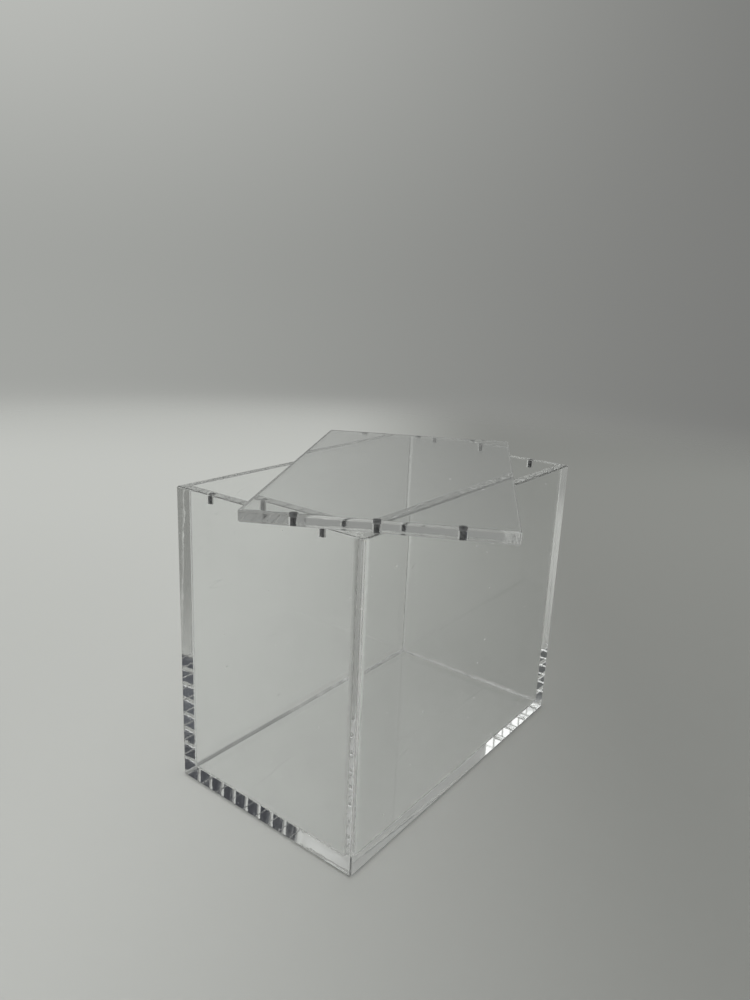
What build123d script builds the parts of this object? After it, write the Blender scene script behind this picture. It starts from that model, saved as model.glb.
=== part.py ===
from build123d import *

import os

# A storage box cemented from clear acrylic sheet, with a loose lid held by small magnets. Millimetres.
# The origin is the middle of the underside of the base. +X runs along the long side, +Z is up.
# The front is the long wall at -Y, and the left is the short wall at -X.

# Sheet and outside sizes
sheet = 4.5
box_length = 156.0
box_width = 92.5
box_height = 128.0
edge_round = 0.8

# Magnets: round, standing on end in blind pockets, in the top edge of each short wall and in the lid.
# Those of the lid are shorter. The margin runs from the outside of a long wall to the middle of the
# nearest magnet.
magnet_diameter = 3.0
wall_magnet_length = 3.5
lid_magnet_length = 3.0
magnet_margin = 18.5
magnet_clearance = 0.05
magnet_recess = 0.1

# The lid lies askew on the rim, turned about the vertical and pushed a little to the front left.
# A film of air stays between two polished faces that only touch.
lid_turn = 29.6
lid_shift_x = -3.0
lid_shift_y = -7.0
air_film = 0.05

# Places worked out from the sizes above
inside_width = box_width - 2 * sheet
wall_height = box_height - sheet
wall_line_x = (box_length - sheet) / 2
wall_line_y = (box_width - sheet) / 2
pocket_radius = magnet_diameter / 2 + magnet_clearance
wall_pocket_depth = wall_magnet_length + magnet_recess
lid_pocket_depth = lid_magnet_length + magnet_recess
lid_bottom = box_height + air_film
magnet_pitch = box_width / 2 - magnet_margin
magnet_row = {"front": -magnet_pitch, "middle": 0, "back": magnet_pitch}
ends = {"left": -wall_line_x, "right": wall_line_x}


def plate(length, width, height, x, y, bottom):
    """A rectangular piece of sheet, centred on x and y, that stands on the level called bottom."""
    block = Box(length, width, height, align=(Align.CENTER, Align.CENTER, Align.MIN))
    return Pos(x, y, bottom) * block


def bar(radius, length, x, y, bottom):
    """An upright round bar, centred on x and y, that stands on the level called bottom."""
    rod = Cylinder(radius, length, align=(Align.CENTER, Align.CENTER, Align.MIN))
    return Pos(x, y, bottom) * rod


def touched_edges(panel, keep):
    """The edges of a panel that a hand can touch: those whose middle passes the test called keep."""
    return [edge for edge in panel.edges() if keep(edge @ 0.5)]


def at(value, target):
    """True where a coordinate lies on a named line."""
    return abs(value - target) < edge_round / 4


def base_panel():
    """The floor of the box, the whole footprint, with its lower rim and its four corners rounded."""
    panel = plate(box_length, box_width, sheet, 0, 0, 0)
    corner_x, corner_y = box_length / 2, box_width / 2
    rounded = touched_edges(
        panel,
        lambda p: at(p.Z, 0) or (at(abs(p.X), corner_x) and at(abs(p.Y), corner_y)),
    )
    return fillet(rounded, edge_round)


def long_wall(side):
    """The front wall (side -1) or the back wall (side 1), which covers the ends of the short walls."""
    panel = plate(box_length, sheet, wall_height, 0, side * wall_line_y, sheet)
    outer_y = side * box_width / 2
    rounded = touched_edges(
        panel,
        lambda p: (at(p.Y, outer_y) and not at(p.Z, sheet))
        or (at(p.Z, box_height) and at(abs(p.X), box_length / 2)),
    )
    return fillet(rounded, edge_round)


def short_wall(end):
    """The left wall (end -1) or the right wall (end 1), with its magnet pockets in the top edge."""
    panel = plate(sheet, inside_width, wall_height, end * wall_line_x, 0, sheet)
    outer_x = end * box_length / 2
    rounded = touched_edges(panel, lambda p: at(p.Z, box_height) and at(p.X, outer_x))
    panel = fillet(rounded, edge_round)
    for y in magnet_row.values():
        pocket_floor = box_height - wall_pocket_depth
        panel -= bar(pocket_radius, wall_pocket_depth, end * wall_line_x, y, pocket_floor)
    return panel


def wall_magnet(x, y):
    """A magnet on the floor of its pocket in a short wall, a hair below the rim."""
    return bar(magnet_diameter / 2, wall_magnet_length, x, y, box_height - wall_pocket_depth)


def lid_magnet(x, y):
    """A magnet against the roof of its pocket in the closed lid, a hair above the underside."""
    return bar(magnet_diameter / 2, lid_magnet_length, x, y, lid_bottom + magnet_recess)


def closed_lid():
    """The lid as it lies when the box is shut, with its pockets in the underside."""
    panel = plate(box_length, box_width, sheet, 0, 0, lid_bottom)
    panel = fillet(panel.edges(), edge_round)
    for x in ends.values():
        for y in magnet_row.values():
            panel -= bar(pocket_radius, lid_pocket_depth, x, y, lid_bottom)
    return panel


def askew(shape):
    """Takes a piece of the closed lid to where it lies on the rim, turned and pushed aside."""
    return Pos(lid_shift_x, lid_shift_y, 0) * Rot(0, 0, lid_turn) * shape


def all_parts():
    """Every piece by its name."""
    parts = {
        "base_panel": base_panel(),
        "front_wall": long_wall(-1),
        "back_wall": long_wall(1),
        "left_wall": short_wall(-1),
        "right_wall": short_wall(1),
        "lid_panel": askew(closed_lid()),
    }
    for end, x in ends.items():
        for place, y in magnet_row.items():
            parts[f"{end}_wall_magnet_{place}"] = wall_magnet(x, y)
            parts[f"lid_{end}_magnet_{place}"] = askew(lid_magnet(x, y))
    return parts


os.makedirs("parts", exist_ok=True)
for name, shape in all_parts().items():
    export_step(shape, f"parts/{name}.step")
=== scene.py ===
"""Dresses a clear acrylic storage box with its loose magnetic lid, and lays out its stage."""

import math

import bpy
from mathutils import Matrix, Vector


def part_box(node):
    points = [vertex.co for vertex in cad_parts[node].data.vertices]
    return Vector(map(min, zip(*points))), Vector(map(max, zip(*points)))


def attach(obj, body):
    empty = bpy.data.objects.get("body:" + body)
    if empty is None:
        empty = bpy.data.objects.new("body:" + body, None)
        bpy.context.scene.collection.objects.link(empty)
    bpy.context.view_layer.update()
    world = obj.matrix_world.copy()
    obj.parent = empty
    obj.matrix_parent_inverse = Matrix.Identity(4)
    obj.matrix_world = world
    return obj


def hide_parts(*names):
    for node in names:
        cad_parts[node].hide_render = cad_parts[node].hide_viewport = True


bl_info = {
    "name": "Clear Acrylic Box",
    "version": (1, 0, 0),
    "blender": (4, 5, 0),
    "location": "3D View > Sidebar > Acrylic Box",
    "description": "Finishes the panels and magnets of a clear acrylic box and sets its stage",
    "category": "Object",
}

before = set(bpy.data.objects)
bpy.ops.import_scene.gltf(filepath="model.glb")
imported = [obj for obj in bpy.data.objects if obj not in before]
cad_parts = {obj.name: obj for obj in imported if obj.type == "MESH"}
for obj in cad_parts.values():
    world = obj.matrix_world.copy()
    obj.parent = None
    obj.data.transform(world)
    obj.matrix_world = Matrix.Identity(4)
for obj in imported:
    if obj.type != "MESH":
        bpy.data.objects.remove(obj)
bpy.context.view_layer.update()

# Sizes of the box, in metres, read from the frame. The inner faces of the walls lie at plus and
# minus INSIDE_X and INSIDE_Y.
PANELS = ("base_panel", "front_wall", "back_wall", "left_wall", "right_wall")
BASE_LOW, BASE_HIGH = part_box("base_panel")
SHEET = BASE_HIGH.z - BASE_LOW.z
INSIDE_X = BASE_HIGH.x - SHEET
INSIDE_Y = BASE_HIGH.y - SHEET
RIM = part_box("front_wall")[1].z
MAGNETS = sorted(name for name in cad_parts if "magnet" in name)
LID_MAGNETS = [name for name in MAGNETS if name.startswith("lid_")]
WALL_MAGNETS = [name for name in MAGNETS if "_wall_magnet_" in name]

MILLIMETRE = 0.001

# In all that follows, a step is the pair of values between which something softly sets in.

# Dried cement: which of its clouds are milky, how much of the milk the upright beads and the thin
# stretch lack, how far before and after its end that stretch fades, and how far behind the middle
# of the box it begins. The balls in the bottom corners end in a ring as wide as the last value.
CEMENT_ROUGHNESS = 0.08
MILKY_STEP = (0.25, 0.75)
UPRIGHT_LACK = 0.6
THIN_LACK = 0.85
THIN_FADE = (-10 * MILLIMETRE, 4 * MILLIMETRE)
THIN_BEHIND = 20 * MILLIMETRE
POLE_WIDTH = 0.001

# Handled sheet: its dust, scratches and smudges. The upright part of a normal tells the faces from
# the edges, and the largest part of a normal tells the rounded edges from both.
DUSTY_STEP = (0.7, 1.0)
DUST_COVER = 0.8
SCRATCH_TURN = (0.5, 0.4, 0.9)
SCRATCH_STRETCH = (1.0, 14.0, 14.0)
SCRATCH_WIDTH = 0.0016
SCRATCH_COVER = 0.12
WORN_CLOUD = 0.55
SMUDGE_STEP = (0.5, 0.75)
DULL_STEP = (0.4, 0.7)
DULLED = 0.985
LEVEL_STEP = (0.6, 0.95)
ROUNDED_BELOW = 0.997

# Nickel plate: its tarnish and its brush marks
TARNISH_STEP = (0.3, 0.7)
TARNISH_ROUGHNESS = 0.2
BRUSH_SQUASH = (1.0, 1.0, 12.0)
BRUSH_STRENGTH = 0.4
BRUSH_DEPTH = 0.01 * MILLIMETRE
BRUSH_ROUGHNESS = 0.1
MAGNET_INPUTS = {
    "Radius": "NodeSocketFloat",
    "Length": "NodeSocketFloat",
    "Rim": "NodeSocketFloat",
    "Rim Steps": "NodeSocketInt",
    "Facets": "NodeSocketInt",
}

# Floor: the level directions away from the camera and to its right, how much the painted light on
# the paper slants from the one to the other, and the steps along x of the painted shade, away from
# the camera of the painted sheen, and from the middle to the rim
AWAY = (0.79, 0.61)
RIGHT = (0.61, -0.79)
PAINTED_LIGHT_SLANT = 0.06
FLOOR_CORNERS = 96
SHADED_PAPER = (0.32, 0.325, 0.31)
SHADED_STEP = (-0.32, -0.17)
PAINTED_SHEEN_RISE = (0.0, 0.4)
PAINTED_SHEEN_FALL = (0.5, 0.8)
FLOOR_FADE = (0.55, 0.97)

# Backdrop: each strip of paper has the colour of its dim and of its bright side
LOW_PAPER = ((0.205, 0.207, 0.2), (0.50, 0.51, 0.485))
MIDDLE_PAPER = ((0.19, 0.192, 0.185), (0.372, 0.38, 0.362))
HIGH_PAPER = ((0.18, 0.182, 0.175), (0.54, 0.55, 0.525))
MIDDLE_STEP = (-0.2, -0.11)
HIGH_STEP = (0.0, 0.4)
BRIGHT_SIDE = (-0.5, 0.866)
BRIGHT_STEP = (-0.5, 0.72)

# The room that the clear edges mirror. A spot of it has a heading and a height in degrees, and the
# step of how directly a ray must face it. The panes reach a little lower behind the sill.
FAR_PAPER = (25, 10, (0.88, 0.97))
FAR_PAPER_COLOUR = (0.265, 0.27, 0.26)
SHELVES = (-55, 28, (0.84, 0.91))
SHELF_COLOURS = ((0.006, 0.008, 0.018), (0.065, 0.07, 0.085))
SHELF_STEP = (0.42, 0.7)
SHELF_TOP = (0.61, 0.68)
CEILING = (38, 38, (0.93, 0.98))
CEILING_COLOUR = (0.36, 0.365, 0.35)
BRIGHT_CEILING = (46, 40, (0.993, 0.998))
BRIGHT_CEILING_COLOUR = (0.5, 0.51, 0.49)
SILL = (160, 25, (0.93, 0.96))
SILL_COLOUR = (0.05, 0.055, 0.06)
SILL_STEP = (0.33, 0.38)
SILL_DROP = 0.014
WINDOW_SIDE = (-0.766, 0.643)
WINDOW_STEP = (0.66, 0.74)
PANE_COLOUR = (1.3, 1.32, 1.3)
PANE_STEP = (0.49, 0.52)
PANE_GAPS = 0.36
ROOM_CLOUDS = 9.0
LIGHT_BOUNCES = 64

SENSOR_WIDTH = 36.0
NEAREST_SEEN = 10 * MILLIMETRE


class Value:
    """A number in a node tree. Arithmetic on it adds Math nodes to the tree."""

    def __init__(self, tree, socket):
        self.tree = tree
        self.socket = socket

    def math(self, operation, *others):
        return self.tree.calculate(operation, self, *others)

    def __add__(self, other):
        return self.math("ADD", other)

    def __sub__(self, other):
        return self.math("SUBTRACT", other)

    def __rsub__(self, other):
        return self.tree.calculate("SUBTRACT", other, self)

    def __mul__(self, other):
        return self.math("MULTIPLY", other)

    def __truediv__(self, other):
        return self.math("DIVIDE", other)

    def __gt__(self, other):
        return self.math("GREATER_THAN", other)

    def __lt__(self, other):
        return self.math("LESS_THAN", other)

    def __and__(self, other):
        return self.math("MULTIPLY", other)

    def __or__(self, other):
        return self.math("MAXIMUM", other)

    def absolute(self):
        return self.math("ABSOLUTE")

    def smooth(self, start, end):
        """0 before start and 1 after end, with a soft step between them."""
        node = self.tree.node(
            "ShaderNodeMapRange",
            {"interpolation_type": "SMOOTHSTEP"},
            [self, start, end, 0.0, 1.0],
        )
        return node.value()


class Node:
    """A node that was added to a tree, with its outputs by name or number."""

    def __init__(self, tree, node):
        self.tree = tree
        self.node = node

    def out(self, name=0):
        return self.node.outputs[name]

    def value(self, name=0):
        return Value(self.tree, self.out(name))


class Tree:
    """A node tree under construction."""

    def __init__(self, node_tree):
        self.node_tree = node_tree
        node_tree.nodes.clear()

    def node(self, kind, settings=None, inputs=()):
        """Adds a node, makes its settings, then sets or links its inputs, by number or by name."""
        node = self.node_tree.nodes.new(kind)
        for name, setting in (settings or {}).items():
            setattr(node, name, setting)
        pairs = inputs.items() if isinstance(inputs, dict) else enumerate(inputs)
        for key, given in pairs:
            source = getattr(given, "socket", given)
            if isinstance(given, Node):
                source = given.out()
            if isinstance(source, bpy.types.NodeSocket):
                self.node_tree.links.new(source, node.inputs[key])
            else:
                node.inputs[key].default_value = source
        return Node(self, node)

    def calculate(self, operation, *numbers):
        return self.node("ShaderNodeMath", {"operation": operation}, numbers).value()

    def mix_shaders(self, factor, first, second):
        return self.node("ShaderNodeMixShader", {}, [factor, first, second])

    def mix_colours(self, factor, first, second):
        """The first colour where the factor is 0 and the second where it is 1."""
        inputs = {0: factor, 6: opaque(first), 7: opaque(second)}
        return self.node("ShaderNodeMix", {"data_type": "RGBA"}, inputs).out(2)

    def noise(self, coordinates, scale, detail=2.0):
        inputs = {"Vector": coordinates, "Scale": scale, "Detail": detail}
        return self.node("ShaderNodeTexNoise", {}, inputs).value("Fac")

    def axes(self, coordinates):
        """The three parts of a vector as values."""
        split = self.node("ShaderNodeSeparateXYZ", {}, [coordinates])
        return [split.value(axis) for axis in "XYZ"]

    def bump(self, strength, distance, height):
        inputs = {"Strength": strength, "Distance": distance, "Height": height}
        return self.node("ShaderNodeBump", {}, inputs)

    def unshadowed(self, shader, replacement):
        """The shader as it is seen, and its replacement for light that falls on other things."""
        path = self.node("ShaderNodeLightPath")
        falls = path.value("Is Shadow Ray") | path.value("Is Diffuse Ray")
        return self.mix_shaders(falls, shader, replacement)


def opaque(colour):
    """A colour of three numbers with its alpha added. A socket stays as it is."""
    return colour if isinstance(colour, bpy.types.NodeSocket) else (*colour, 1.0)


def new_material(name):
    """A fresh material, the tree that holds its nodes, and the object coordinates in that tree."""
    material = bpy.data.materials.new(name)
    material.use_nodes = True
    tree = Tree(material.node_tree)
    return material, tree, tree.node("ShaderNodeTexCoord").out("Object")


def put_on(node_name, material):
    """Gives a piece of the frame its finish."""
    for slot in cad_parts[node_name].material_slots:
        slot.material = material


def add_object(name, data):
    """An object at the origin that holds the data and is linked to the scene."""
    added = bpy.data.objects.new(name, data)
    bpy.context.scene.collection.objects.link(added)
    return added


def cemented_faces(tree, coordinates, sizes):
    """1 on the faces that the cement wets, in the joints and behind its beads, which all vanish."""
    x, y, z = tree.axes(coordinates)
    reach, bead = sizes.joint_reach, sizes.bead_radius
    on_floor = (z - SHEET).absolute() < reach
    on_short_wall = (x.absolute() - INSIDE_X).absolute() < reach
    on_long_wall = (y.absolute() - INSIDE_Y).absolute() < reach
    at_floor = z < SHEET + bead
    beside_bead = z < RIM - sizes.bead_stop
    near_short_wall = x.absolute() > INSIDE_X - bead
    near_long_wall = y.absolute() > INSIDE_Y - bead
    wall_ends = x.absolute() > INSIDE_X
    wet = on_floor & (near_short_wall | near_long_wall)
    wet = wet | (on_short_wall & (at_floor | (near_long_wall & beside_bead)))
    return wet | (on_long_wall & (at_floor | wall_ends | (near_short_wall & beside_bead)))


def cloudy_cement(name, sizes):
    """Dried solvent cement: clear like the sheet, with a milky haze that comes and goes."""
    material, tree, coordinates = new_material(name)
    x, y, z = tree.axes(coordinates)
    cloud = tree.noise(coordinates, sizes.haze_scale, 3.0)
    fade = [sizes.thin_end + reach for reach in THIN_FADE]
    thin = (1 - x.smooth(*fade)) & (y > THIN_BEHIND)
    clear = tree.node(
        "ShaderNodeBsdfPrincipled",
        {},
        {
            "Base Color": tree.mix_colours(thin, sizes.tint, sizes.thin_tint),
            "Roughness": cloud * CEMENT_ROUGHNESS,
            "IOR": sizes.refraction,
            "Transmission Weight": 1.0,
            "Normal": tree.bump(1.0, sizes.bead_wave, cloud),
        },
    )
    milk = tree.node("ShaderNodeBsdfDiffuse", {}, {"Color": opaque(sizes.dust)})
    upright = z.smooth(SHEET + sizes.bead_radius, SHEET + sizes.bead_radius * 4)
    milky = cloud.smooth(*MILKY_STEP) * sizes.haze
    milky = milky * (1 - upright * UPRIGHT_LACK) * (1 - thin * THIN_LACK)
    hazy = tree.mix_shaders(milky, clear, milk)
    gone = tree.node("ShaderNodeBsdfTransparent")
    tree.node("ShaderNodeOutputMaterial", {}, [tree.unshadowed(hazy, gone)])
    return material


def dusted(tree, coordinates, sheet, cloud, backfacing, sizes):
    """Adds the dust, hair scratches and faint smudges of handled sheet to its outer side."""
    inputs = {"Vector": coordinates, "Scale": sizes.dust_scale}
    cells = tree.node("ShaderNodeTexVoronoi", {}, inputs)
    grain = tree.axes(cells.out("Color"))[0]
    specks = cells.value("Distance") < (grain.smooth(*DUSTY_STEP) * sizes.dust_size)
    inputs = {"Vector": coordinates, "Rotation": SCRATCH_TURN, "Scale": SCRATCH_STRETCH}
    long_way = tree.node("ShaderNodeMapping", {}, inputs)
    streaks = tree.noise(long_way, sizes.scratch_scale, 1.0)
    scratches = ((streaks - 0.5).absolute() < SCRATCH_WIDTH) & (cloud > WORN_CLOUD)
    smudges = cloud.smooth(*SMUDGE_STEP) * sizes.smudge
    marks = specks * DUST_COVER + scratches * SCRATCH_COVER + smudges
    dust = tree.node("ShaderNodeBsdfDiffuse", {}, {"Color": opaque(sizes.dust)})
    return tree.mix_shaders(marks & (1 - backfacing), sheet, dust)


def clear_acrylic(name, sizes, joined, edge_roughness):
    """Polished clear sheet. Where panels are cemented together it has no surface at all."""
    material, tree, coordinates = new_material(name)
    geometry = tree.node("ShaderNodeNewGeometry")
    wave = tree.noise(coordinates, sizes.wave_scale, 1.0)
    cloud = tree.noise(coordinates, sizes.smudge_scale, 3.0)
    dulled = [part * DULLED for part in sizes.tint]
    across, along, upright = (part.absolute() for part in tree.axes(geometry.out("Normal")))
    sheet = tree.node(
        "ShaderNodeBsdfPrincipled",
        {},
        {
            "Base Color": tree.mix_colours(cloud.smooth(*DULL_STEP), sizes.tint, dulled),
            "Roughness": (1 - upright.smooth(*LEVEL_STEP)) * edge_roughness,
            "IOR": sizes.refraction,
            "Transmission Weight": 1.0,
            "Normal": tree.bump(1.0, sizes.wave_height, wave),
        },
    )
    sheet = dusted(tree, coordinates, sheet, cloud, geometry.value("Backfacing"), sizes)
    gone = tree.node("ShaderNodeBsdfTransparent")
    rounded = (across | along | upright) < ROUNDED_BELOW
    dimmed = tree.node("ShaderNodeBsdfTransparent", {}, {"Color": opaque(sizes.edge_shade)})
    clear = tree.unshadowed(sheet, tree.mix_shaders(rounded, gone, dimmed))
    if joined:
        clear = tree.mix_shaders(cemented_faces(tree, coordinates, sizes), clear, gone)
    tree.node("ShaderNodeOutputMaterial", {}, [clear])
    return material


class Hollow:
    """A surface that faces the inside of the box, under construction, with its exact normals."""

    def __init__(self):
        self.points = []
        self.normals = []
        self.faces = []

    def patch(self, rows):
        """Adds a grid of points with their normals, and faces on the side of the normals."""
        start = len(self.points)
        across = len(rows[0])
        for row in rows:
            for point, normal in row:
                self.points.append(point)
                self.normals.append(normal)
        for down in range(len(rows) - 1):
            for step in range(across - 1):
                first = start + down * across + step
                corners = [first, first + 1, first + 1 + across, first + across]
                self.add_face(corners)

    def add_face(self, corners):
        a, b, d = (self.points[corners[number]] for number in (0, 1, -1))
        outward = (b - a).cross(d - a)
        if outward.dot(self.normals[corners[0]]) < 0:
            corners = corners[::-1]
        self.faces.append(corners)

    def finish(self, name):
        mesh = bpy.data.meshes.new(name)
        mesh.from_pydata(self.points, [], self.faces)
        mesh.shade_smooth()
        mesh.normals_split_custom_set_from_vertices(self.normals)
        return mesh


def cement_bead_mesh(sizes):
    """The hollow beads of cement: up the four corners, round the floor, and where these meet."""
    bead, steps = sizes.bead_radius, sizes.bead_steps
    quarter = [math.pi / 2 * step / steps for step in range(steps + 1)]
    low, high = SHEET + bead, RIM - sizes.bead_stop
    length, width = INSIDE_X - bead, INSIDE_Y - bead
    up, down = Vector((0, 0, 1)), Vector((0, 0, -1))
    hollow = Hollow()

    def spot(centre, away):
        return centre + away * bead, -away

    def sweep(centres, turned):
        hollow.patch([[spot(centre, away) for away in turned] for centre in centres])

    def corner_bead(side_x, side_y):
        foot = Vector((side_x * length, side_y * width, low))
        top = Vector((foot.x, foot.y, high))
        turned = [Vector((side_x * math.cos(t), side_y * math.sin(t), 0)) for t in quarter]
        sweep((foot, top), turned)
        ball = []
        for dip in quarter[:-1]:
            ball.append([away * math.cos(dip) + down * math.sin(dip) for away in turned])
        ball.append([away * POLE_WIDTH + down for away in turned])
        hollow.patch([[spot(foot, away) for away in row] for row in ball])
        corner = Vector((side_x * INSIDE_X, side_y * INSIDE_Y, high))
        rounded = [(top + away * bead, up) for away in turned]
        hollow.patch([rounded, [(corner, up)] * len(turned)])

    for side_x in (-1, 1):
        for side_y in (-1, 1):
            corner_bead(side_x, side_y)
    dips = [(math.cos(dip), -math.sin(dip)) for dip in quarter]
    for side in (-1, 1):
        centres = [Vector((end * length, side * width, low)) for end in (-1, 1)]
        sweep(centres, [Vector((0, side * out, drop)) for out, drop in dips])
        centres = [Vector((side * length, end * width, low)) for end in (-1, 1)]
        sweep(centres, [Vector((side * out, 0, drop)) for out, drop in dips])
    return hollow.finish("cement_bead")


def magnet_tree(nickel):
    """A tree that stands a round magnet with softly rounded rims on every point it is given."""
    group = bpy.data.node_groups.new("magnet", "GeometryNodeTree")
    sockets = {"Feet": "NodeSocketGeometry", **MAGNET_INPUTS}
    group.interface.new_socket("Geometry", in_out="OUTPUT", socket_type="NodeSocketGeometry")
    for name, kind in sockets.items():
        group.interface.new_socket(name, in_out="INPUT", socket_type=kind)
    tree = Tree(group)
    given = tree.node("NodeGroupInput")
    radius, length, rim, steps, facets = (given.value(name) for name in MAGNET_INPUTS)
    count = steps * 2 + 2
    line = tree.node("GeometryNodeCurvePrimitiveLine", {}, {"End": (0, 0, 1)})
    rings = tree.node("GeometryNodeResampleCurve", {}, {"Curve": line, "Count": count})
    index = tree.node("GeometryNodeInputIndex").value()
    on_top = index > steps + 0.5
    from_end = index.math("MINIMUM", count - 1 - index)
    turn = from_end / steps * (math.pi / 2)
    rise = rim * (1 - turn.math("COSINE"))
    height = rise + on_top * (length - rise * 2)
    spot = tree.node("ShaderNodeCombineXYZ", {}, {"Z": height})
    placed = tree.node("GeometryNodeSetPosition", {}, {"Geometry": rings, "Position": spot})
    ring_radius = radius - rim + rim * turn.math("SINE")
    inputs = {"Resolution": facets, "Radius": 1.0}
    circle = tree.node("GeometryNodeCurvePrimitiveCircle", {}, inputs)
    body = tree.node(
        "GeometryNodeCurveToMesh",
        {},
        {"Curve": placed, "Profile Curve": circle, "Scale": ring_radius, "Fill Caps": True},
    )
    smooth = tree.node("GeometryNodeSetShadeSmooth", {}, {"Geometry": body})
    inputs = {"Points": given.out("Feet"), "Instance": smooth}
    copies = tree.node("GeometryNodeInstanceOnPoints", {}, inputs)
    real = tree.node("GeometryNodeRealizeInstances", {}, [copies])
    plated = tree.node("GeometryNodeSetMaterial", {}, {"Geometry": real, "Material": nickel})
    tree.node("NodeGroupOutput", {}, [plated])
    return group


def stand_magnets(name, nodes, body, tree, sizes):
    """Makes one mesh of the magnets that ride on a body, each where its node stands."""
    corners = [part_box(node) for node in nodes]
    low, high = corners[0]
    feet = bpy.data.meshes.new(name + "_feet")
    feet.from_pydata([((a.x + b.x) / 2, (a.y + b.y) / 2, a.z) for a, b in corners], [], [])
    holder = add_object(name + "_feet", feet)
    modifier = holder.modifiers.new("magnet", "NODES")
    modifier.node_group = tree
    values = {
        "Radius": (high.x - low.x) / 2,
        "Length": high.z - low.z + sizes.seat,
        "Rim": sizes.rim,
        "Rim Steps": sizes.rim_steps,
        "Facets": sizes.facets,
    }
    for item in tree.interface.items_tree:
        if item.name in values:
            modifier[item.identifier] = values[item.name]
    evaluated = holder.evaluated_get(bpy.context.evaluated_depsgraph_get())
    mesh = bpy.data.meshes.new_from_object(evaluated)
    mesh.name = name
    bpy.data.objects.remove(holder)
    magnets = add_object(name, mesh)
    if len(mesh.polygons) == 0:
        raise RuntimeError(name + " came out empty")
    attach(magnets, body)
    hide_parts(*nodes)


def nickel_plate(sizes):
    """Dull nickel with clouds of tarnish and fine brush marks."""
    material, tree, coordinates = new_material("nickel_plate")
    cloud = tree.noise(coordinates, sizes.cloud_scale)
    inputs = {"Vector": coordinates, "Scale": BRUSH_SQUASH}
    squashed = tree.node("ShaderNodeMapping", {}, inputs)
    brushed = tree.noise(squashed, sizes.brush_scale, 3.0)
    roughness = cloud * TARNISH_ROUGHNESS + brushed * BRUSH_ROUGHNESS + sizes.dullness
    tarnish = cloud.smooth(*TARNISH_STEP)
    plate = tree.node(
        "ShaderNodeBsdfPrincipled",
        {},
        {
            "Base Color": tree.mix_colours(tarnish, sizes.dark_plate, sizes.plate),
            "Metallic": 1.0,
            "Roughness": roughness,
            "Normal": tree.bump(BRUSH_STRENGTH, BRUSH_DEPTH, brushed),
        },
    )
    tree.node("ShaderNodeOutputMaterial", {}, [plate])
    return material


def heads(ray, towards):
    """How directly a ray heads towards a level direction, from -1 to 1, whatever its height."""
    x, y = ray[:2]
    return (x * towards[0] + y * towards[1]) / (x * x + y * y).math("SQRT")


def facing(ray, spot):
    """1 for a ray that looks at a spot of the room, and 0 outside the spot's soft edge."""
    heading, height, step = spot
    turn, rise = math.radians(heading), math.radians(height)
    x, y, z = ray
    across = math.cos(rise)
    level = x * (math.cos(turn) * across) + y * (math.sin(turn) * across)
    return (level + z * math.sin(rise)).smooth(*step)


def paper_backdrop(tree, ray):
    """The sheet of paper that bends up behind the floor, bright on the left, dim on the right."""
    bright = heads(ray, BRIGHT_SIDE).smooth(*BRIGHT_STEP)
    low, middle, high = (
        tree.mix_colours(bright, *colours) for colours in (LOW_PAPER, MIDDLE_PAPER, HIGH_PAPER)
    )
    paper = tree.mix_colours(ray[2].smooth(*MIDDLE_STEP), low, middle)
    return tree.mix_colours(ray[2].smooth(*HIGH_STEP), paper, high)


def mirrored_room(tree, direction, ray, backdrop):
    """What the clear edges mirror: dark shelves, a pale ceiling, and a window above its sill."""
    height = ray[2]
    cloud = tree.noise(direction, ROOM_CLOUDS, 3.0)
    shelves = tree.mix_colours(cloud.smooth(*SHELF_STEP), *SHELF_COLOURS)
    in_shelves = facing(ray, SHELVES) & (1 - height.smooth(*SHELF_TOP))
    room = tree.mix_colours(facing(ray, FAR_PAPER), backdrop, FAR_PAPER_COLOUR)
    room = tree.mix_colours(in_shelves, room, shelves)
    room = tree.mix_colours(facing(ray, CEILING), room, CEILING_COLOUR)
    room = tree.mix_colours(facing(ray, BRIGHT_CEILING), room, BRIGHT_CEILING_COLOUR)
    over_sill = facing(ray, SILL)
    room = tree.mix_colours(over_sill & height.smooth(*SILL_STEP), room, SILL_COLOUR)
    in_window = heads(ray, WINDOW_SIDE).smooth(*WINDOW_STEP)
    panes = in_window & (height + over_sill * SILL_DROP).smooth(*PANE_STEP)
    return tree.mix_colours(panes & (cloud > PANE_GAPS), room, PANE_COLOUR)


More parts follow.
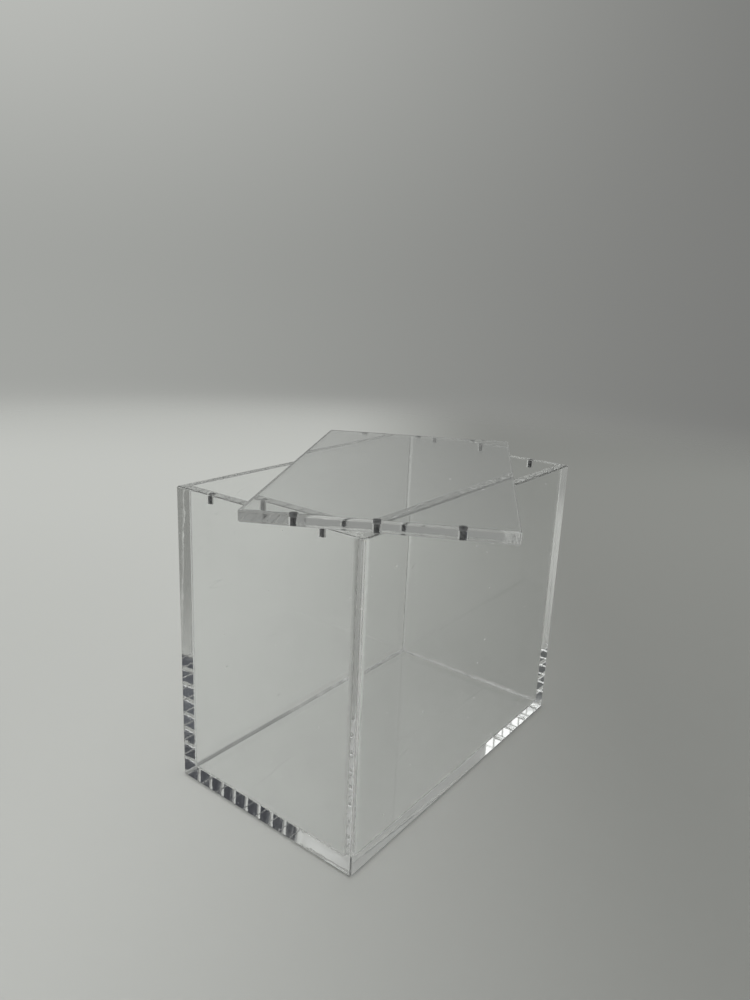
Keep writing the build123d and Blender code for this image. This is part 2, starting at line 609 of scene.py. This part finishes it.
class AcrylicSizes(bpy.types.PropertyGroup):
    """The clear sheet and its cement."""

    refraction: bpy.props.FloatProperty(
        name="Refraction", description="Index of refraction of the sheet", default=1.49, min=1.0
    )
    tint: bpy.props.FloatVectorProperty(
        name="Tint",
        description="Colour that the sheet lends to what is seen through it",
        subtype="COLOR",
        default=(0.985, 0.99, 0.988),
    )
    wave_scale: bpy.props.FloatProperty(
        name="Wave scale", description="Waves to a metre in the polish", default=220.0
    )
    wave_height: bpy.props.FloatProperty(
        name="Wave height",
        description="Height of the waves in the polish",
        default=0.004 * MILLIMETRE,
        unit="LENGTH",
        precision=6,
    )
    smudge_scale: bpy.props.FloatProperty(
        name="Smudge scale", description="Smudges to a metre on the sheet", default=35.0
    )
    smudge: bpy.props.FloatProperty(
        name="Smudge",
        description="How much a smudge hides of what is behind it",
        default=0.015,
    )
    dust_scale: bpy.props.FloatProperty(
        name="Dust scale",
        description="Places to a metre where a grain of dust can lie",
        default=220.0,
    )
    dust_size: bpy.props.FloatProperty(
        name="Dust size",
        description="Largest grain of dust, as a part of its place",
        default=0.085,
    )
    scratch_scale: bpy.props.FloatProperty(
        name="Scratch scale", description="Hair scratches to a metre", default=9.0
    )
    dust: bpy.props.FloatVectorProperty(
        name="Dust",
        description="Colour of the dust and of milky cement",
        subtype="COLOR",
        default=(0.75, 0.75, 0.73),
    )
    satin: bpy.props.FloatProperty(
        name="Satin",
        description="Roughness of the edges of the lid, which are not quite polished",
        default=0.06,
    )
    edge_shade: bpy.props.FloatVectorProperty(
        name="Edge shade",
        description="Light that passes straight through the rounded edges",
        subtype="COLOR",
        default=(0.3, 0.3, 0.3),
    )
    joint_reach: bpy.props.FloatProperty(
        name="Joint reach",
        description="How far from the plane of a cemented joint a face counts as part of it",
        default=0.005 * MILLIMETRE,
        unit="LENGTH",
        precision=6,
    )
    bead_radius: bpy.props.FloatProperty(
        name="Bead radius",
        description="Hollow radius of the bead of cement in the inside corners",
        default=1.5 * MILLIMETRE,
        unit="LENGTH",
        precision=5,
    )
    bead_stop: bpy.props.FloatProperty(
        name="Bead stop",
        description="How far below the rim the beads of the upright corners end",
        default=0.6 * MILLIMETRE,
        unit="LENGTH",
        precision=5,
    )
    bead_wave: bpy.props.FloatProperty(
        name="Bead wave",
        description="Height of the ripples in a bead",
        default=0.02 * MILLIMETRE,
        unit="LENGTH",
        precision=6,
    )
    thin_end: bpy.props.FloatProperty(
        name="Thin end",
        description="Where the cement stops being thin, along the back wall from the left corner",
        default=-13 * MILLIMETRE,
        unit="LENGTH",
    )
    thin_tint: bpy.props.FloatVectorProperty(
        name="Thin tint",
        description="Colour of the cement where it lies thin",
        subtype="COLOR",
        default=(0.66, 0.67, 0.68),
    )
    haze: bpy.props.FloatProperty(
        name="Haze", description="How milky the cement is where it is milkiest", default=0.3
    )
    haze_scale: bpy.props.FloatProperty(
        name="Haze scale", description="Milky places to a metre in the cement", default=260.0
    )
    bead_steps: bpy.props.IntProperty(
        name="Bead steps", description="Faces across a bead", default=10, min=2
    )


class MagnetSizes(bpy.types.PropertyGroup):
    """The magnets."""

    rim: bpy.props.FloatProperty(
        name="Rim",
        description="Radius of the rounded rims of a magnet",
        default=0.2 * MILLIMETRE,
        unit="LENGTH",
        precision=5,
    )
    rim_steps: bpy.props.IntProperty(
        name="Rim steps", description="Faces round a rim", default=4, min=1
    )
    facets: bpy.props.IntProperty(
        name="Facets", description="Faces round a magnet", default=48, min=12
    )
    seat: bpy.props.FloatProperty(
        name="Seat",
        description="How far the plating is set into the glue at the end of the pocket",
        default=0.02 * MILLIMETRE,
        unit="LENGTH",
        precision=6,
    )
    brush_scale: bpy.props.FloatProperty(
        name="Brush scale", description="Brush marks to a metre in the nickel", default=4000.0
    )
    plate: bpy.props.FloatVectorProperty(
        name="Plate",
        description="Colour of the nickel",
        subtype="COLOR",
        default=(0.22, 0.22, 0.23),
    )
    dark_plate: bpy.props.FloatVectorProperty(
        name="Dark plate",
        description="Colour of the nickel where it is dull",
        subtype="COLOR",
        default=(0.06, 0.06, 0.066),
    )
    dullness: bpy.props.FloatProperty(
        name="Dullness", description="Least roughness of the nickel", default=0.2
    )
    cloud_scale: bpy.props.FloatProperty(
        name="Cloud scale", description="Clouds to a metre in the nickel", default=900.0
    )


class StageSizes(bpy.types.PropertyGroup):
    """The floor, the light and the camera."""

    floor_radius: bpy.props.FloatProperty(
        name="Floor radius", description="Half the width of the floor", default=1.3, unit="LENGTH"
    )
    air_under_base: bpy.props.FloatProperty(
        name="Air under base",
        description="The thin film of air between the paper and the clear base",
        default=0.1 * MILLIMETRE,
        unit="LENGTH",
        precision=6,
    )
    # The painted light on the floor paper: its colour on the bright side and on the dim side
    bright_paper: bpy.props.FloatVectorProperty(
        name="Bright paper",
        description="Colour of the paper on the side of the light",
        subtype="COLOR",
        default=(0.50, 0.51, 0.485),
    )
    dim_paper: bpy.props.FloatVectorProperty(
        name="Dim paper",
        description="Colour of the paper on the dim side",
        subtype="COLOR",
        default=(0.24, 0.245, 0.23),
    )
    paper_fade: bpy.props.FloatProperty(
        name="Paper fade",
        description="How far to either side the paper reaches its full brightness or dimness",
        default=0.145,
        unit="LENGTH",
    )
    # The painted sheen: the paper behind the box is drawn brighter in its colour
    painted_paper_sheen: bpy.props.FloatProperty(
        name="Paper sheen",
        description="How many times brighter the paper is behind the box",
        default=1.07,
    )
    plain_light: bpy.props.FloatProperty(
        name="Plain light", description="Strength of the even light of the room", default=1.0
    )
    camera_place: bpy.props.FloatVectorProperty(
        name="Camera place",
        description="Where the camera stands",
        subtype="TRANSLATION",
        default=(-0.25608, -0.18431, 0.20302),
    )
    camera_heading: bpy.props.FloatProperty(
        name="Camera heading",
        description="Way the camera looks, turned from +X towards +Y",
        subtype="ANGLE",
        default=math.radians(37.02),
    )
    camera_dip: bpy.props.FloatProperty(
        name="Camera dip",
        description="How far the camera looks down",
        subtype="ANGLE",
        default=math.radians(15.38),
    )
    camera_roll: bpy.props.FloatProperty(
        name="Camera roll",
        description="How far the camera is turned about its own line of sight",
        subtype="ANGLE",
        default=math.radians(2.5),
    )
    camera_lens: bpy.props.FloatProperty(
        name="Camera lens", description="Focal length in mm on a 36 mm sensor", default=27.17
    )


class FinishPanels(bpy.types.Operator):
    """Gives the cemented panels and the lid their clear sheet, and adds the beads of cement"""

    bl_idname = "acrylic_box.finish_panels"
    bl_label = "Finish the Panels"

    def execute(self, context):
        sizes = context.scene.acrylic_sizes
        box_sheet = clear_acrylic("cemented_acrylic", sizes, True, 0.0)
        for panel in PANELS:
            put_on(panel, box_sheet)
        put_on("lid_panel", clear_acrylic("lid_acrylic", sizes, False, sizes.satin))
        mesh = cement_bead_mesh(sizes)
        mesh.materials.append(cloudy_cement("cloudy_cement", sizes))
        bead = add_object("cement_bead", mesh)
        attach(bead, "box")
        return {"FINISHED"}


class FinishMagnets(bpy.types.Operator):
    """Stands the plated magnets in their pockets"""

    bl_idname = "acrylic_box.finish_magnets"
    bl_label = "Finish the Magnets"

    def execute(self, context):
        sizes = context.scene.magnet_sizes
        tree = magnet_tree(nickel_plate(sizes))
        stand_magnets("wall_magnets", WALL_MAGNETS, "box", tree, sizes)
        stand_magnets("lid_magnets", LID_MAGNETS, "lid", tree, sizes)
        return {"FINISHED"}


class SetStage(bpy.types.Operator):
    """Lays the floor, lights the room and places the camera"""

    bl_idname = "acrylic_box.set_stage"
    bl_label = "Set the Stage"

    def execute(self, context):
        sizes = context.scene.stage_sizes
        self.lay_floor(sizes)
        self.light_room(context, sizes)
        self.place_camera(context, sizes)
        cycles = context.scene.cycles
        cycles.max_bounces = LIGHT_BOUNCES
        cycles.transmission_bounces = LIGHT_BOUNCES
        cycles.glossy_bounces = LIGHT_BOUNCES
        cycles.transparent_max_bounces = LIGHT_BOUNCES
        cycles.caustics_refractive = False
        cycles.caustics_reflective = False
        return {"FINISHED"}

    def lay_floor(self, sizes):
        """A round sheet of paper, painted bright to the left and dim to the right, that fades at
        its rim.
        """
        mesh = bpy.data.meshes.new("floor")
        radius, drop = sizes.floor_radius, -sizes.air_under_base
        turns = [2 * math.pi * step / FLOOR_CORNERS for step in range(FLOOR_CORNERS)]
        corners = [(radius * math.cos(turn), radius * math.sin(turn), drop) for turn in turns]
        mesh.from_pydata(corners, [], [range(FLOOR_CORNERS)])
        floor = add_object("floor", mesh)
        material, tree, coordinates = new_material("floor_paper")
        x, y = tree.axes(coordinates)[:2]
        behind = x * AWAY[0] + y * AWAY[1]
        # Painted light: the paper's colour runs from bright on the left to dim on the right,
        # standing in for a lamp
        painted_light_across = x * RIGHT[0] + y * RIGHT[1] - behind * PAINTED_LIGHT_SLANT
        dim = painted_light_across.smooth(-sizes.paper_fade, sizes.paper_fade)
        paper = tree.mix_colours(dim, sizes.bright_paper, sizes.dim_paper)
        # Painted shade: the paper far to the left is darker in its colour
        paper = tree.mix_colours(1 - x.smooth(*SHADED_STEP), paper, SHADED_PAPER)
        # Painted sheen: the paper behind the box is made brighter in its colour
        bright_painted_sheen = [part * sizes.painted_paper_sheen for part in sizes.bright_paper]
        dim_painted_sheen = [part * sizes.painted_paper_sheen for part in sizes.dim_paper]
        sheen = tree.mix_colours(dim, bright_painted_sheen, dim_painted_sheen)
        in_painted_sheen = behind.smooth(*PAINTED_SHEEN_RISE) & (1 - behind.smooth(*PAINTED_SHEEN_FALL))
        colour = tree.mix_colours(in_painted_sheen, paper, sheen)
        surface = tree.node("ShaderNodeBsdfDiffuse", {}, {"Color": colour})
        from_middle = (x * x + y * y).math("SQRT")
        far = from_middle.smooth(*(radius * part for part in FLOOR_FADE))
        gone = tree.node("ShaderNodeBsdfTransparent")
        tree.node("ShaderNodeOutputMaterial", {}, [tree.mix_shaders(far, surface, gone)])
        mesh.materials.append(material)

    def light_room(self, context, sizes):
        """Even light on the pieces, a paper backdrop, and the room that the clear edges mirror."""
        world = bpy.data.worlds.new("room")
        world.use_nodes = True
        context.scene.world = world
        tree = Tree(world.node_tree)
        direction = tree.node("ShaderNodeTexCoord").out("Generated")
        ray = tree.axes(direction)
        backdrop = paper_backdrop(tree, ray)
        room = mirrored_room(tree, direction, ray, backdrop)
        path = tree.node("ShaderNodeLightPath")
        mirrored = path.value("Glossy Depth") > 0.5
        seen = tree.mix_colours(mirrored, backdrop, room)
        views = path.value("Is Camera Ray") | path.value("Is Glossy Ray")
        views = views | path.value("Is Transmission Ray")
        colour = tree.mix_colours(views, (sizes.plain_light,) * 3, seen)
        light = tree.node("ShaderNodeBackground", {}, [colour, 1.0])
        tree.node("ShaderNodeOutputWorld", {}, [light])

    def place_camera(self, context, sizes):
        heading, dip = sizes.camera_heading, sizes.camera_dip
        across = math.cos(dip)
        forward = (math.cos(heading) * across, math.sin(heading) * across, -math.sin(dip))
        level = Vector(forward).to_track_quat("-Z", "Y").to_matrix().to_4x4()
        roll = Matrix.Rotation(sizes.camera_roll, 4, "Z")
        data = bpy.data.cameras.new("camera")
        data.sensor_width = SENSOR_WIDTH
        data.lens = sizes.camera_lens
        data.clip_start = NEAREST_SEEN
        camera = add_object("camera", data)
        camera.matrix_world = Matrix.Translation(sizes.camera_place) @ level @ roll
        context.scene.camera = camera
        context.scene.view_settings.view_transform = "Standard"


class BoxPanel(bpy.types.Panel):
    """Lists the steps that dress the box."""

    bl_idname = "VIEW3D_PT_acrylic_box"
    bl_label = "Acrylic Box"
    bl_space_type = "VIEW_3D"
    bl_region_type = "UI"
    bl_category = "Acrylic Box"

    def draw(self, context):
        for operator in OPERATORS:
            self.layout.operator(operator.bl_idname)


OPERATORS = (FinishPanels, FinishMagnets, SetStage)
SIZE_GROUPS = {
    "acrylic_sizes": AcrylicSizes,
    "magnet_sizes": MagnetSizes,
    "stage_sizes": StageSizes,
}


def register():
    for group in SIZE_GROUPS.values():
        bpy.utils.register_class(group)
    for name, group in SIZE_GROUPS.items():
        setattr(bpy.types.Scene, name, bpy.props.PointerProperty(type=group))
    for operator in OPERATORS:
        bpy.utils.register_class(operator)
    bpy.utils.register_class(BoxPanel)


def unregister():
    bpy.utils.unregister_class(BoxPanel)
    for operator in reversed(OPERATORS):
        bpy.utils.unregister_class(operator)
    for name, group in SIZE_GROUPS.items():
        delattr(bpy.types.Scene, name)
        bpy.utils.unregister_class(group)


def main():
    register()
    bpy.ops.acrylic_box.finish_panels()
    bpy.ops.acrylic_box.finish_magnets()
    bpy.ops.acrylic_box.set_stage()


if __name__ == "__main__":
    main()
